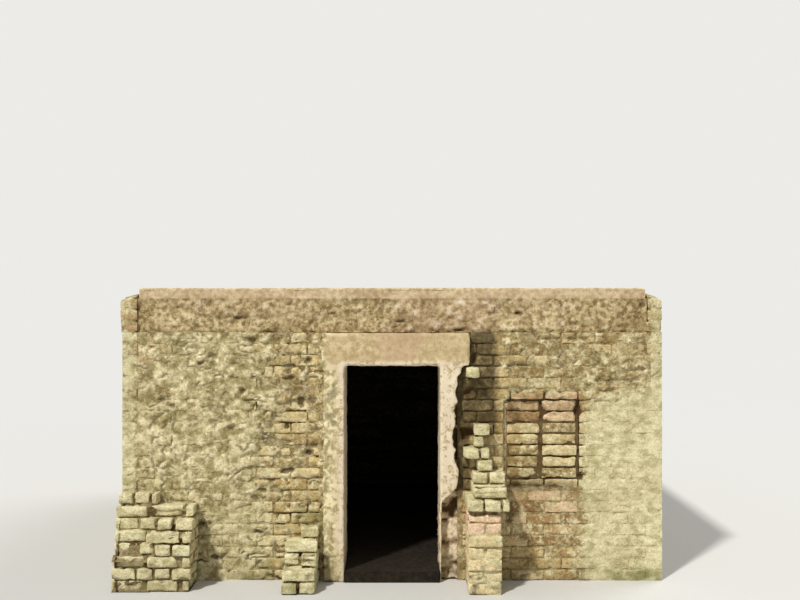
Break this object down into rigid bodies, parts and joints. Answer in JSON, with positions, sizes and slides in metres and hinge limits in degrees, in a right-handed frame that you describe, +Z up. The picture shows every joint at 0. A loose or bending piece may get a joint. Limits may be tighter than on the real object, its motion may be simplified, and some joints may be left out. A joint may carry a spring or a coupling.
{
  "type": "flat-roofed brick and concrete shelter",
  "caption": "Small square flat-roofed shelter of brick over a concrete core, with an open doorway in a cast surround, a bricked-up loophole and broken stubs of lost walls in front.",
  "frame": {"origin": "middle of the square plan on the underside of the floor slab, at the lowest ground the walls meet", "axes": "+X to the right seen from in front, +Y from the doorway to the rear wall, +Z up"},
  "size_m": [3.662, 4.01, 1.975],
  "materials": {
    "weathered_brick": "lichened and limewashed common brick with open joints",
    "broken_brick": "broken common brick with old mortar",
    "core_concrete": "rough cast concrete, board marked",
    "surround_concrete": "smooth rendered concrete, weathered buff",
    "roof_concrete": "rough cast concrete with exposed stones and lichen",
    "roof_screed": "weathered cement screed",
    "floor_concrete": "concrete under a film of brown dirt"
  },
  "bodies": {
    "root": {"left_leaf": "weathered_brick", "right_leaf": "weathered_brick", "rear_leaf": "weathered_brick", "front_leaf_left": "weathered_brick", "front_leaf_right": "weathered_brick", "loophole_infill": "broken_brick", "left_kerb": "broken_brick", "right_kerb": "broken_brick", "right_wing_stub": "broken_brick", "left_wing_stub": "broken_brick", "left_corner_stub": "broken_brick", "left_core": "core_concrete", "right_core": "core_concrete", "rear_core": "core_concrete", "front_core_left": "core_concrete", "front_core_right": "core_concrete", "door_lintel": "surround_concrete", "left_jamb": "surround_concrete", "right_jamb": "surround_concrete", "roof_slab": "roof_concrete", "roof_screed": "roof_screed", "floor_slab": "floor_concrete"}
  },
  "joints": []
}
